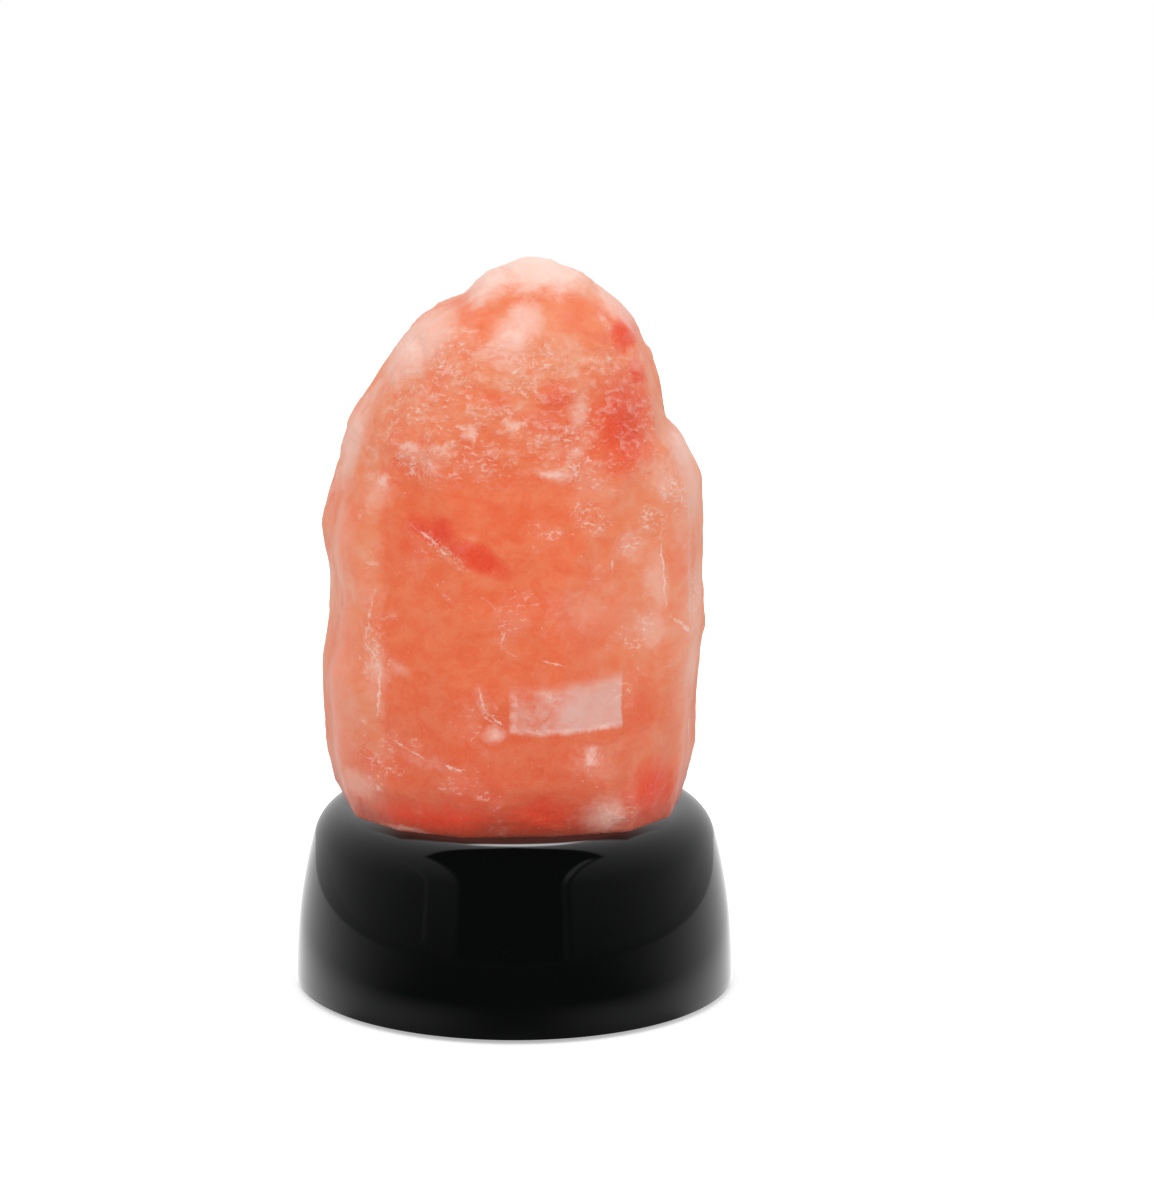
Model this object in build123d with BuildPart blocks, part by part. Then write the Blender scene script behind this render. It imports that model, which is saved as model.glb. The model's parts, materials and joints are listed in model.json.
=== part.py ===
from build123d import *
import os
from collections import namedtuple
from math import asin, copysign, cos, degrees, radians, sin

# A small salt crystal lamp: a rough lump of pink rock salt glued to a turned, gloss-black moulded base.
# The base holds a round light board under a frosted dome, which stands in a well bored up into the salt,
# and behind it a control board with a low-voltage power socket and a push button in the rear wall.
# Millimetres. The origin is on the table under the middle of the lamp, +Z is up and the front faces -Y.

# ---- Base housing -----------------------------------------------------------------------------------
base_radius = 40.0            # at the rim, where the base is widest
base_height = 33.3            # rim to the level seat that carries the salt
rim_z = 0.8                   # the feet hold the rim this far off the table
seat_z = rim_z + base_height
side_radius = 110.0           # the side wall is a shallow arc, upright at the rim
shoulder_radius = 8.0         # rounds the side wall into the seat
side_tapers = 2               # the two arcs are turned as this many narrow tapers each, none of them
shoulder_tapers = 4           # more than 0.25 mm inside its arc
wall = 2.2
wall_bite = 1.2               # how far inner ribs and columns run into the wall they grow from
ceiling_z = seat_z - wall

# ---- Base plate and what fastens it -----------------------------------------------------------------
plate_thickness = 2.2
plate_recess = 0.9            # the plate sits this far up inside the rim, against the screw columns
plate_gap = 0.7               # at the rim; less at the plate's top, because the wall tapers in
plate_z = rim_z + plate_recess
plate_top_z = plate_z + plate_thickness
plate_radius = base_radius - wall - plate_gap
rib_thickness = 1.2
rib_height = 3.0
rib_reach = 48.0              # length of each of the two crossed ribs inside the plate

column_count = 3
column_start = 30             # degrees round from +X to the first column
column_circle = 33.0
column_radius = 3.2
column_height = 11.0

foot_circle = 29.0
foot_width = 8.4              # square
foot_edge = 0.4

# ---- Fasteners --------------------------------------------------------------------------------------
head_sides = 6
core_sides = 8                # a screw's core is a plain eight-sided bar in its round hole
screw_gap = 0.05              # play between the core's corners and its hole, in radius
large_core = 1.1              # screws of the base plate
large_head = 2.4
large_head_height = 1.15
large_length = 8.0
small_core = 0.8              # screws of the two boards
small_head = 1.8
small_head_height = 1.2
small_length = 4.0
board_play = 0.25             # a board's screw holes are this much wider than the screw, in radius
small_edge = 0.3              # edges broken on small moulded pieces

# ---- Light board and frosted dome -------------------------------------------------------------------
dome_radius = 12.5
dome_top_z = seat_z + 14.0
dome_wall = 1.4
dome_hole_gap = 0.25
flange_radius = 15.2          # to the corners of its eight sides
flange_thickness = 1.4

board_thickness = 1.2
light_board_radius = 19.4     # to the corners of the eight-sided board
light_board_top_z = ceiling_z - flange_thickness
light_board_z = light_board_top_z - board_thickness
light_screw_circle = 17.0
light_boss_radius = 2.0

emitter_length = 3.5          # light-emitting package, with a window sunk in its top
emitter_width = 2.8
emitter_height = 0.8
emitter_rim = 0.4
emitter_sink = 0.3
emitter_circle = 5.4
chip_length = 2.0             # surface-mounted resistor or capacitor
chip_width = 1.25
chip_height = 0.55
resistor_circle = 9.2

# ---- Rear panel, a flat pocket in the wall for the socket and the button ----------------------------
panel_y = 36.0
panel_width = 26.0
panel_height = 11.0
panel_corner = 2.0
panel_z = 14.0
panel_border = 2.0            # the thickened wall behind the pocket reaches this far past it
panel_inside_y = panel_y - wall

# ---- Control board, hung from two posts with its parts below it -------------------------------------
control_z = 17.6              # its underside
control_top_z = control_z + board_thickness
control_width = 27.8
control_corner = 2.4
control_front_y = 15.6
control_back_y = panel_inside_y - 2 * board_play
control_notch_x = -1.4        # left of here the board stops short, clear of the button's flange
control_notch_y = 29.0
post_x = 12.2
post_y = 18.6
post_radius = 2.3

socket_x = 7.0
socket_width = 8.94
socket_height = 3.26
socket_depth = 7.35
socket_skin = 0.3
socket_inset = 0.3            # its mouth stands this far inside the panel's face
socket_gap = 0.3
socket_block = 2.0            # plastic at the back of the shell that carries the tongue
tongue_width = 6.69
tongue_height = 0.7
tongue_inset = 0.6
socket_z = control_z - socket_height / 2
socket_mouth_y = panel_y - socket_inset

switch_size = 7.0             # square in section
switch_front_y = 28.4
switch_length = 8.4
switch_z = control_z - switch_size / 2
switch_x = -6.6
switch_bore = 3.2
switch_bore_depth = 6.2
plunger_size = 3.0
plunger_length = 10.0
pin_width = 0.6
pin_proud = 0.8               # how far the pins stand out of the board
pin_slot = 1.0
pin_pitch = 2.5

button_travel = 1.6
plunger_play = 0.4            # left behind the plunger when the button is right in
cap_play = 1.2                # left between the cap and the switch when the button is right in
button_radius = 3.9
button_hole_gap = 0.2
button_proud = 2.4            # how far the cap stands out of the panel
button_edge = 0.6
cap_flange_width = 9.0        # square
cap_flange_thickness = 1.2
cap_flange_gap = 0.3          # between the flange and the panel's inside when the button is out
cap_socket_gap = 0.05

driver_chip_x = 7.0
driver_chip_y = 28.5
driver_chip_length = 4.9
driver_chip_width = 3.9
driver_chip_height = 1.5
driver_lead_width = 0.4
driver_lead_pitch = 1.27
driver_lead_span = 6.0
driver_lead_height = 0.7
capacitor_y = 21.6

# ---- Lead from the control board up to the light board ----------------------------------------------
header_width = 7.4
header_depth = 5.6
header_height = 4.4
header_y = 23.2               # middle of the header, on the control board's top face
header_skin = 0.8
plug_gap = 0.1
plug_proud = 0.6              # how far the lead's plug stands out of the header
lead_width = 3.0              # flat two-core lead
lead_thickness = 1.0
lead_rise_y = 8.6             # where it turns up to the light board
lead_bend = 3.6

# ---- Salt crystal -----------------------------------------------------------------------------------
bond_thickness = 0.4          # adhesive foam pads between the seat and the salt
bond_count = 6
bond_circle = 20.0
bond_length = 9.0
bond_width = 6.0
salt_z = seat_z + bond_thickness
well_radius = 15.0
well_depth = 24.0

# The lump's outline at each height above the table: how far it reaches from the middle of the base to the
# left, right, front and back. The sides bulge out low down, nip in at mid height and lean to the right as
# they close over the top, with a step on the right at 104 mm and one on the left at 125 mm.
Girth = namedtuple("Girth", "height left right front back")
girths = [
    Girth(salt_z, 30.2, 29.5, 27.3, 26.0),
    Girth(38.0, 32.5, 31.2, 29.8, 28.6),
    Girth(45.0, 34.0, 32.5, 31.4, 30.2),
    Girth(61.0, 35.4, 33.7, 31.6, 30.2),
    Girth(68.0, 33.6, 34.5, 31.0, 30.8),
    Girth(76.0, 33.3, 34.2, 31.4, 29.4),
    Girth(86.0, 35.0, 34.1, 30.2, 28.4),
    Girth(95.0, 32.7, 33.6, 29.0, 28.6),
    Girth(102.0, 30.6, 30.6, 27.6, 26.8),
    Girth(105.0, 29.9, 27.4, 26.8, 26.0),
    Girth(111.0, 26.1, 26.4, 24.4, 24.2),
    Girth(117.5, 22.1, 24.6, 21.4, 20.6),
    Girth(123.5, 17.2, 21.4, 17.2, 17.4),
    Girth(126.8, 10.2, 18.1, 13.8, 14.2),
    Girth(131.6, 5.9, 13.2, 9.0, 9.4),
    Girth(134.9, -0.6, 6.8, 3.8, 3.6),
]
outline_points = 14
squareness = 2.35             # 2 is an ellipse; more is boxier, as halite breaks
ripple = 0.03                 # share of the reach by which low swells raise and sink the faces

# Flats where the salt has split along its grain: compass direction of the face (0 is +X, 90 is +Y),
# its upward tilt, and its distance from the axis point at the given height.
Flat = namedtuple("Flat", "direction tilt height distance")
flats = [
    Flat(-120, 3, 68, 31.0),
    Flat(-58, 2, 60, 31.2),
    Flat(-96, 13, 106, 26.0),
    Flat(-88, 40, 123, 17.6),
    Flat(150, 5, 66, 31.8),
    Flat(36, 5, 80, 31.6),
    Flat(100, 14, 100, 26.4),
    Flat(62, 36, 120, 20.6),
    Flat(132, 42, 122, 17.4),
    Flat(-150, 24, 110, 27.2),
]


def upright(y):
    """The upright plane across the lamp at depth y. Its x is X, its y is Z, and it extrudes to the front."""
    return Plane.XZ.offset(-y)


# The shoulder's centre lies inside the side arc, so that the two arcs meet smoothly at join_angle.
shoulder_z = seat_z - shoulder_radius
join_angle = degrees(asin((shoulder_z - rim_z) / (side_radius - shoulder_radius)))
seat_radius = base_radius - side_radius + (side_radius - shoulder_radius) * cos(radians(join_angle))

# The base's outer form as a full solid.
side = CenterArc((base_radius - side_radius, rim_z), side_radius, 0, join_angle)
shoulder = CenterArc((seat_radius, shoulder_z), shoulder_radius, join_angle, 90 - join_angle)
with BuildPart() as outer_form:
    with BuildSketch(Plane.XZ):
        with BuildLine():
            Polyline(
                (0, rim_z),
                *[side @ (step / side_tapers) for step in range(side_tapers)],
                *[shoulder @ (step / shoulder_tapers) for step in range(shoulder_tapers + 1)],
                (0, seat_z),
                close=True,
            )
        make_face()
    revolve(axis=Axis.Z)


def inner_form(inset):
    """The hollow inside the base as a full solid: a taper and a sloping shoulder, inset from outside."""
    with BuildPart() as hollow:
        with BuildSketch(Plane.XZ):
            Polygon(
                (0, rim_z),
                (base_radius - inset, rim_z),
                ((side @ 1).X - inset, shoulder_z),
                (seat_radius, seat_z - inset),
                (0, seat_z - inset),
                align=None,
            )
        revolve(axis=Axis.Z)
    return hollow.part


# Everything that grows inward from the housing's wall, trimmed so that it ends inside the wall.
with BuildPart() as housing_inside:
    with BuildSketch(Plane.XY.offset(plate_top_z)):
        with PolarLocations(column_circle, column_count, column_start):
            Circle(column_radius)
    extrude(amount=column_height)
    # the thick wall behind the rear pocket
    with BuildSketch(upright(panel_inside_y)):
        with Locations((0, panel_z)):
            RectangleRounded(
                panel_width + 2 * panel_border,
                panel_height + 2 * panel_border,
                panel_corner + panel_border,
            )
    extrude(amount=panel_inside_y - base_radius)
    # posts for the control board
    with BuildSketch(Plane.XY.offset(control_top_z)):
        with Locations((-post_x, post_y), (post_x, post_y)):
            Circle(post_radius)
    extrude(amount=seat_z - control_top_z)
    # bosses for the light board, either side of the dome's flange
    with BuildSketch(Plane.XY.offset(light_board_top_z)):
        with PolarLocations(light_screw_circle, 2):
            Circle(light_boss_radius)
    extrude(amount=seat_z - light_board_top_z)
    add(inner_form(wall - wall_bite), mode=Mode.INTERSECT)

with BuildPart() as base_housing:
    add(outer_form)
    add(inner_form(wall), mode=Mode.SUBTRACT)
    add(housing_inside.part)
    # the rear pocket, with a slot for the socket and a hole for the button
    with BuildSketch(upright(panel_y)):
        with Locations((0, panel_z)):
            RectangleRounded(panel_width, panel_height, panel_corner)
    extrude(amount=panel_y - base_radius, mode=Mode.SUBTRACT)
    with BuildSketch(upright(panel_y)):
        with Locations((socket_x, socket_z)):
            SlotOverall(socket_width + 2 * socket_gap, socket_height + 2 * socket_gap)
        with Locations((switch_x, switch_z)):
            Circle(button_radius + button_hole_gap)
    extrude(amount=2 * wall, mode=Mode.SUBTRACT)
    # the dome's hole in the seat
    with BuildSketch(Plane.XY.offset(ceiling_z)):
        Circle(dome_radius + dome_hole_gap)
    extrude(amount=wall, mode=Mode.SUBTRACT)
    # blind screw holes, drilled up from below
    with BuildSketch(Plane.XY.offset(plate_top_z)):
        with PolarLocations(column_circle, column_count, column_start):
            Circle(large_core + screw_gap)
    extrude(amount=large_length, mode=Mode.SUBTRACT)
    with BuildSketch(Plane.XY.offset(control_top_z)):
        with Locations((-post_x, post_y), (post_x, post_y)):
            Circle(small_core + screw_gap)
    extrude(amount=small_length, mode=Mode.SUBTRACT)
    with BuildSketch(Plane.XY.offset(light_board_top_z)):
        with PolarLocations(light_screw_circle, 2):
            Circle(small_core + screw_gap)
    extrude(amount=small_length - board_thickness + screw_gap, mode=Mode.SUBTRACT)
base_housing.part.label = "base_housing"

with BuildPart() as base_plate:
    with BuildSketch(Plane.XY.offset(plate_z)):
        Circle(plate_radius)
    extrude(amount=plate_thickness)
    # crossed stiffening ribs on the inner face
    with BuildSketch(Plane.XY.offset(plate_top_z)):
        Rectangle(rib_reach, rib_thickness, rotation=45)
        Rectangle(rib_reach, rib_thickness, rotation=-45)
    extrude(amount=rib_height)
    with BuildSketch(Plane.XY.offset(plate_z)):
        with PolarLocations(column_circle, column_count, column_start):
            Circle(large_core + board_play)
    extrude(amount=plate_thickness, mode=Mode.SUBTRACT)
base_plate.part.label = "base_plate"


def foot(angle):
    """One square rubber foot, stuck under the plate at angle round the lamp."""
    with BuildPart() as pad:
        with BuildSketch():
            with PolarLocations(foot_circle, 1, angle):
                Rectangle(foot_width, foot_width)
        extrude(amount=plate_z)
        chamfer(pad.edges().group_by(Axis.Z)[0], length=foot_edge)
    return pad.part


def screws(places, head_z, core, head, head_height, length):
    """Hexagon-headed screws driven upward at places, with their heads under head_z and no thread cut."""
    with BuildPart() as fasteners:
        with BuildSketch(Plane.XY.offset(head_z - head_height)):
            with Locations(*places):
                RegularPolygon(head, head_sides)
        extrude(amount=head_height)
        with BuildSketch(Plane.XY.offset(head_z)):
            with Locations(*places):
                RegularPolygon(core, core_sides)
        extrude(amount=length)
    return fasteners.part


def polar_places(circle, count, start):
    """Points evenly spaced on a circle round the lamp's axis."""
    return [place.position for place in PolarLocations(circle, count, start)]


plate_screws = screws(
    polar_places(column_circle, column_count, column_start),
    plate_z,
    large_core,
    large_head,
    large_head_height,
    large_length,
)
plate_screws.label = "plate_screws"
light_board_screws = screws(
    polar_places(light_screw_circle, 2, 0),
    light_board_z,
    small_core,
    small_head,
    small_head_height,
    small_length,
)
light_board_screws.label = "light_board_screws"
control_board_screws = screws(
    [(-post_x, post_y), (post_x, post_y)],
    control_z,
    small_core,
    small_head,
    small_head_height,
    small_length,
)
control_board_screws.label = "control_board_screws"

# Frosted dome: a flanged thimble that pokes up through the seat into the salt's well.
with BuildPart() as light_dome:
    with BuildSketch(Plane.XY.offset(ceiling_z)):
        Circle(dome_radius)
    extrude(amount=dome_top_z - ceiling_z)
    with BuildSketch(Plane.XY.offset(ceiling_z)):
        Circle(dome_radius - dome_wall)
    extrude(amount=dome_top_z - ceiling_z - 2 * dome_wall, mode=Mode.SUBTRACT)
    with BuildSketch(Plane.XY.offset(light_board_top_z)):
        RegularPolygon(flange_radius, 8, rotation=22.5)
        Circle(dome_radius - dome_wall, mode=Mode.SUBTRACT)
    extrude(amount=flange_thickness)
light_dome.part.label = "light_dome"

with BuildPart() as light_board:
    with BuildSketch(Plane.XY.offset(light_board_z)):
        RegularPolygon(light_board_radius, 8, rotation=22.5)
        with PolarLocations(light_screw_circle, 2):
            Circle(small_core + board_play, mode=Mode.SUBTRACT)
    extrude(amount=board_thickness)
light_board.part.label = "light_board"

with BuildPart() as light_emitters:
    with BuildSketch(Plane.XY.offset(light_board_top_z)):
        with PolarLocations(emitter_circle, 4, start_angle=45):
            Rectangle(emitter_length, emitter_width)
    extrude(amount=emitter_height)
    with BuildSketch(Plane.XY.offset(light_board_top_z + emitter_height)):
        with PolarLocations(emitter_circle, 4, start_angle=45):
            Rectangle(emitter_length - 2 * emitter_rim, emitter_width - 2 * emitter_rim)
    extrude(amount=-emitter_sink, mode=Mode.SUBTRACT)
light_emitters.part.label = "light_emitters"

with BuildPart() as light_resistors:
    with BuildSketch(Plane.XY.offset(light_board_top_z)):
        with PolarLocations(resistor_circle, 4):
            Rectangle(chip_width, chip_length)
    extrude(amount=chip_height)
light_resistors.part.label = "light_resistors"

with BuildPart() as control_board:
    with BuildSketch(Plane.XY.offset(control_z)) as control_outline:
        with Locations((0, (control_front_y + control_back_y) / 2)):
            Rectangle(control_width, control_back_y - control_front_y)
        chamfer(control_outline.vertices(), length=control_corner)
        with Locations((control_notch_x, control_notch_y)):
            Rectangle(control_width, control_width, align=(Align.MAX, Align.MIN), mode=Mode.SUBTRACT)
        with Locations((-post_x, post_y), (post_x, post_y)):
            Circle(small_core + board_play, mode=Mode.SUBTRACT)
        with Locations((switch_x, switch_front_y - switch_length / 2)):
            with GridLocations(0, pin_pitch, 1, 3):
                Rectangle(pin_slot, pin_slot, mode=Mode.SUBTRACT)
    extrude(amount=board_thickness)
control_board.part.label = "control_board"

# Power socket: a flattened steel tube round a thin contact tongue.
with BuildPart() as power_socket_shell:
    with BuildSketch(upright(socket_mouth_y)):
        with Locations((socket_x, socket_z)):
            SlotOverall(socket_width, socket_height)
            SlotOverall(
                socket_width - 2 * socket_skin, socket_height - 2 * socket_skin, mode=Mode.SUBTRACT
            )
    extrude(amount=socket_depth)
power_socket_shell.part.label = "power_socket_shell"

with BuildPart() as power_socket_tongue:
    with BuildSketch(upright(socket_mouth_y - socket_depth + socket_block)):
        with Locations((socket_x, socket_z)):
            SlotOverall(socket_width - 2 * socket_skin, socket_height - 2 * socket_skin)
    extrude(amount=socket_block)
    with BuildSketch(upright(socket_mouth_y - tongue_inset)):
        with Locations((socket_x, socket_z)):
            Rectangle(tongue_width, tongue_height)
    extrude(amount=socket_depth - tongue_inset - socket_block)
power_socket_tongue.part.label = "power_socket_tongue"

# Push switch: a square body with a bored front for its plunger, and pins up through the board.
with BuildPart() as switch_body:
    with BuildSketch(upright(switch_front_y)):
        with Locations((switch_x, switch_z)):
            Rectangle(switch_size, switch_size)
    extrude(amount=switch_length)
    chamfer(switch_body.edges().filter_by(Axis.Y).group_by(Axis.Z)[0], length=small_edge)
    with BuildSketch(upright(switch_front_y)):
        with Locations((switch_x, switch_z)):
            Rectangle(switch_bore, switch_bore)
    extrude(amount=switch_bore_depth, mode=Mode.SUBTRACT)
switch_body.part.label = "switch_body"

with BuildPart() as switch_pins:
    with BuildSketch(Plane.XY.offset(control_z)):
        with Locations((switch_x, switch_front_y - switch_length / 2)):
            with GridLocations(0, pin_pitch, 1, 3):
                Rectangle(pin_width, pin_width)
    extrude(amount=board_thickness + pin_proud)
switch_pins.part.label = "switch_pins"

plunger_back_y = switch_front_y - switch_bore_depth + button_travel + plunger_play
with BuildPart() as switch_plunger:
    with BuildSketch(upright(plunger_back_y)):
        with Locations((switch_x, switch_z)):
            Rectangle(plunger_size, plunger_size)
    extrude(amount=-plunger_length)
    chamfer(switch_plunger.faces().sort_by(Axis.Y)[-1].edges(), length=small_edge)
switch_plunger.part.label = "switch_plunger"

# Button cap: slides in the panel's hole, kept in by its flange, and pushed on to the plunger.
cap_front_y = panel_y + button_proud
cap_back_y = switch_front_y + button_travel + cap_play
with BuildPart() as button_cap:
    with BuildSketch(upright(cap_front_y)):
        with Locations((switch_x, switch_z)):
            Circle(button_radius)
    extrude(amount=cap_front_y - cap_back_y)
    chamfer(button_cap.edges().group_by(Axis.Y)[-1], length=button_edge)
    with BuildSketch(upright(panel_inside_y - cap_flange_gap)):
        with Locations((switch_x, switch_z)):
            Rectangle(cap_flange_width, cap_flange_width)
    extrude(amount=cap_flange_thickness)
    with BuildSketch(upright(cap_back_y)):
        with Locations((switch_x, switch_z)):
            Rectangle(plunger_size + 2 * cap_socket_gap, plunger_size + 2 * cap_socket_gap)
    extrude(amount=cap_back_y - plunger_back_y - plunger_length - cap_socket_gap, mode=Mode.SUBTRACT)
button_cap.part.label = "button_cap"

with BuildPart() as driver_chip:
    with BuildSketch(Plane.XY.offset(control_top_z)):
        with Locations((driver_chip_x, driver_chip_y)):
            Rectangle(driver_chip_length, driver_chip_width)
    extrude(amount=driver_chip_height)
    chamfer(driver_chip.edges().group_by(Axis.Z)[-1], length=small_edge)
    with BuildSketch(Plane.XY.offset(control_top_z)):
        with Locations((driver_chip_x, driver_chip_y)):
            with GridLocations(driver_lead_pitch, 0, 4, 1):
                Rectangle(driver_lead_width, driver_lead_span)
    extrude(amount=driver_lead_height)
driver_chip.part.label = "driver_chip"

with BuildPart() as control_capacitors:
    with BuildSketch(Plane.XY.offset(control_top_z)):
        with Locations((driver_chip_x, capacitor_y)):
            with GridLocations(2 * chip_length, 0, 2, 1):
                Rectangle(chip_width, chip_length)
    extrude(amount=2 * chip_height)
control_capacitors.part.label = "control_capacitors"

# Two-way header on the control board, open to the front, and the lead's plug in it.
header_front_y = header_y - header_depth / 2
plug_z = control_top_z + header_height / 2
with BuildPart() as lead_header:
    with BuildSketch(Plane.XY.offset(control_top_z)):
        with Locations((0, header_y)):
            Rectangle(header_width, header_depth)
    extrude(amount=header_height)
    with BuildSketch(upright(header_front_y)):
        with Locations((0, plug_z)):
            Rectangle(header_width - 2 * header_skin, header_height - 2 * header_skin)
    extrude(amount=header_skin - header_depth, mode=Mode.SUBTRACT)
lead_header.part.label = "lead_header"

plug_front_y = header_front_y - plug_proud
with BuildPart() as lead_plug:
    with BuildSketch(upright(plug_front_y)):
        with Locations((0, plug_z)):
            Rectangle(
                header_width - 2 * header_skin - 2 * plug_gap,
                header_height - 2 * header_skin - 2 * plug_gap,
            )
    extrude(amount=header_skin + plug_gap - header_depth - plug_proud)
lead_plug.part.label = "lead_plug"


# Flat two-core lead: straight out of the plug to the front, then up square to the light board.
with BuildPart() as light_lead:
    with BuildLine():
        FilletPolyline(
            (0, plug_front_y, plug_z),
            (0, lead_rise_y, plug_z),
            (0, lead_rise_y, light_board_z),
            radius=lead_bend,
        )
    with BuildSketch(upright(plug_front_y)):
        with Locations((0, plug_z)):
            Rectangle(lead_width, lead_thickness)
    sweep()
light_lead.part.label = "light_lead"

# Foam pads, sticky on both faces, that hold the salt to the seat.
with BuildPart() as bond_pads:
    with BuildSketch(Plane.XY.offset(seat_z)):
        with PolarLocations(bond_circle, bond_count):
            Rectangle(bond_width, bond_length)
    extrude(amount=bond_thickness)
bond_pads.part.label = "bond_pads"


def swell(angle, height):
    """Low swells that wander round and up the lump, as a factor near 1. They leave its two sides alone."""
    waves = cos(3 * angle + height / 17) + cos(5 * angle - height / 11)
    return 1 + ripple * waves * sin(angle) ** 2


def lump_outline(girth):
    """Corners of one closed outline: quarter superellipses between the four reaches, swells included."""
    middle, half = (girth.right - girth.left) / 2, (girth.right + girth.left) / 2
    corners = []
    for step in range(outline_points):
        angle = radians(360 * step / outline_points)
        across = copysign(abs(cos(angle)) ** (2 / squareness), cos(angle)) * swell(angle, girth.height)
        deep = copysign(abs(sin(angle)) ** (2 / squareness), sin(angle)) * swell(angle, girth.height)
        corners.append((middle + half * across, deep * (girth.back if deep > 0 else girth.front)))
    return corners


def facets(lower, upper):
    """Flat triangles between two outlines: each patch is folded along its shorter diagonal."""
    triangles = []
    for here in range(outline_points):
        after = (here + 1) % outline_points
        corners = [lower[here], lower[after], upper[after], upper[here]]
        if (corners[0] - corners[2]).length > (corners[1] - corners[3]).length:
            corners = corners[1:] + corners[:1]
        first, second, third, fourth = corners
        triangles.append(Face(Wire.make_polygon([first, second, third])))
        triangles.append(Face(Wire.make_polygon([first, third, fourth])))
    return triangles


outlines = [[Vector(x, y, girth.height) for x, y in lump_outline(girth)] for girth in girths]
lump_faces = [Face(Wire.make_polygon(outlines[0])), Face(Wire.make_polygon(outlines[-1]))]
for lower_outline, upper_outline in zip(outlines, outlines[1:]):
    lump_faces += facets(lower_outline, upper_outline)
lump = Solid(Shell(lump_faces))

with BuildPart() as salt_crystal:
    add(lump)
    for flat in flats:
        face_normal = Vector(1, 0, 0).rotate(Axis.Y, -flat.tilt).rotate(Axis.Z, flat.direction)
        face_point = Vector(flat.distance, 0, flat.height).rotate(Axis.Z, flat.direction)
        split(bisect_by=Plane(origin=face_point, z_dir=face_normal), keep=Keep.BOTTOM)
    # the well that the light dome stands in
    with BuildSketch(Plane.XY.offset(salt_z)):
        Circle(well_radius)
    extrude(amount=well_depth, mode=Mode.SUBTRACT)
salt_crystal.part.label = "salt_crystal"

foot_angles = {"rear_right": 45, "rear_left": 135, "front_left": 225, "front_right": 315}
feet = []
for place, angle in foot_angles.items():
    feet.append(foot(angle))
    feet[-1].label = f"foot_{place}"

builders = [
    base_housing,
    base_plate,
    light_dome,
    light_board,
    light_emitters,
    light_resistors,
    control_board,
    power_socket_shell,
    power_socket_tongue,
    switch_body,
    switch_pins,
    switch_plunger,
    button_cap,
    driver_chip,
    control_capacitors,
    lead_header,
    lead_plug,
    light_lead,
    bond_pads,
    salt_crystal,
]
pieces = [name.part for name in builders]
pieces += [plate_screws, light_board_screws, control_board_screws, *feet]

os.makedirs("parts", exist_ok=True)
for piece in pieces:
    export_step(piece, f"parts/{piece.label}.step")
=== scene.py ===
import json
from collections import namedtuple
from math import asin, cos, degrees, pi, radians, sin

import bmesh
import bpy
import numpy as np
from mathutils import Matrix, Vector, noise


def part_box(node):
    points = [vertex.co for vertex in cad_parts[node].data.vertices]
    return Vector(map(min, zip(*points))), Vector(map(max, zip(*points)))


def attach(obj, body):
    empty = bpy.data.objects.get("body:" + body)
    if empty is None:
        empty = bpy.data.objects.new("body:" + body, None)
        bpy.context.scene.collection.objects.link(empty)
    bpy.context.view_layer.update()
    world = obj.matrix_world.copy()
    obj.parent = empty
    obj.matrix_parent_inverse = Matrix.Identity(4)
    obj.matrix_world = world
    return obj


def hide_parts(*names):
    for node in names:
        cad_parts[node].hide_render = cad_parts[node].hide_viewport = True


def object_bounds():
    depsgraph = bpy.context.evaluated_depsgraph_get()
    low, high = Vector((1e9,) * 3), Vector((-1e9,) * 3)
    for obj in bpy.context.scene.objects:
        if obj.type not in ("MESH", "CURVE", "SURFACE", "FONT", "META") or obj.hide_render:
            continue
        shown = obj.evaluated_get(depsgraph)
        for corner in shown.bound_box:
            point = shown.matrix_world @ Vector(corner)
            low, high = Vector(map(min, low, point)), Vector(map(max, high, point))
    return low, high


# A small salt crystal lamp: a lump of pink rock salt on a round gloss-black base, with its power
# socket and push button in the back of the base. Lengths are in metres, and mm turns millimetres
# into them.
mm = 0.001

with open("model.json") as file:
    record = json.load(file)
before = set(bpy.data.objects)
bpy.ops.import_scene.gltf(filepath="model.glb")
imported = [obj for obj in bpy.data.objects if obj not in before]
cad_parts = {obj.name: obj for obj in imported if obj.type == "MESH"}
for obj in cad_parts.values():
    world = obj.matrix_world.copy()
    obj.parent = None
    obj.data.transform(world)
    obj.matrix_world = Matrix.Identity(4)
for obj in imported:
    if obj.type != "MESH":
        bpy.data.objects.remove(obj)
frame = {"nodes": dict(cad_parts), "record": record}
cad_low, cad_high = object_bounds()

# ---- Camera: in front of the lamp, looking down a little, with the lamp left of the middle -------
photo_width = 1154
photo_height = 1200
view_tilt = radians(14.55)
view_distance = 1.2
view_centre = Vector((0, 0, 60 * mm))
view_centre_pixel = (514.5, 661.8)   # where the photograph shows that point
focal_pixels = 6618

camera_data = bpy.data.cameras.new("camera")
camera_data.sensor_width = 36
camera_data.lens = focal_pixels * camera_data.sensor_width / photo_height
camera_data.shift_x = (photo_width / 2 - view_centre_pixel[0]) / photo_height
camera_data.shift_y = (view_centre_pixel[1] - photo_height / 2) / photo_height
camera = bpy.data.objects.new("camera", camera_data)
camera.location = view_centre + view_distance * Vector((0, -cos(view_tilt), sin(view_tilt)))
camera.rotation_euler = (pi / 2 - view_tilt, 0, 0)
bpy.context.scene.collection.objects.link(camera)
bpy.context.scene.camera = camera
bpy.context.scene.view_settings.view_transform = "Standard"


# ---- Shader writing ------------------------------------------------------------------------------
def tint(red, green, blue):
    """A colour named by its 0 to 255 screen values, as the linear colour that a shader takes."""
    levels = [level / 255 for level in (red, green, blue)]
    linear = [v / 12.92 if v <= 0.04045 else ((v + 0.055) / 1.055) ** 2.4 for v in levels]
    return (*linear, 1.0)


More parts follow.
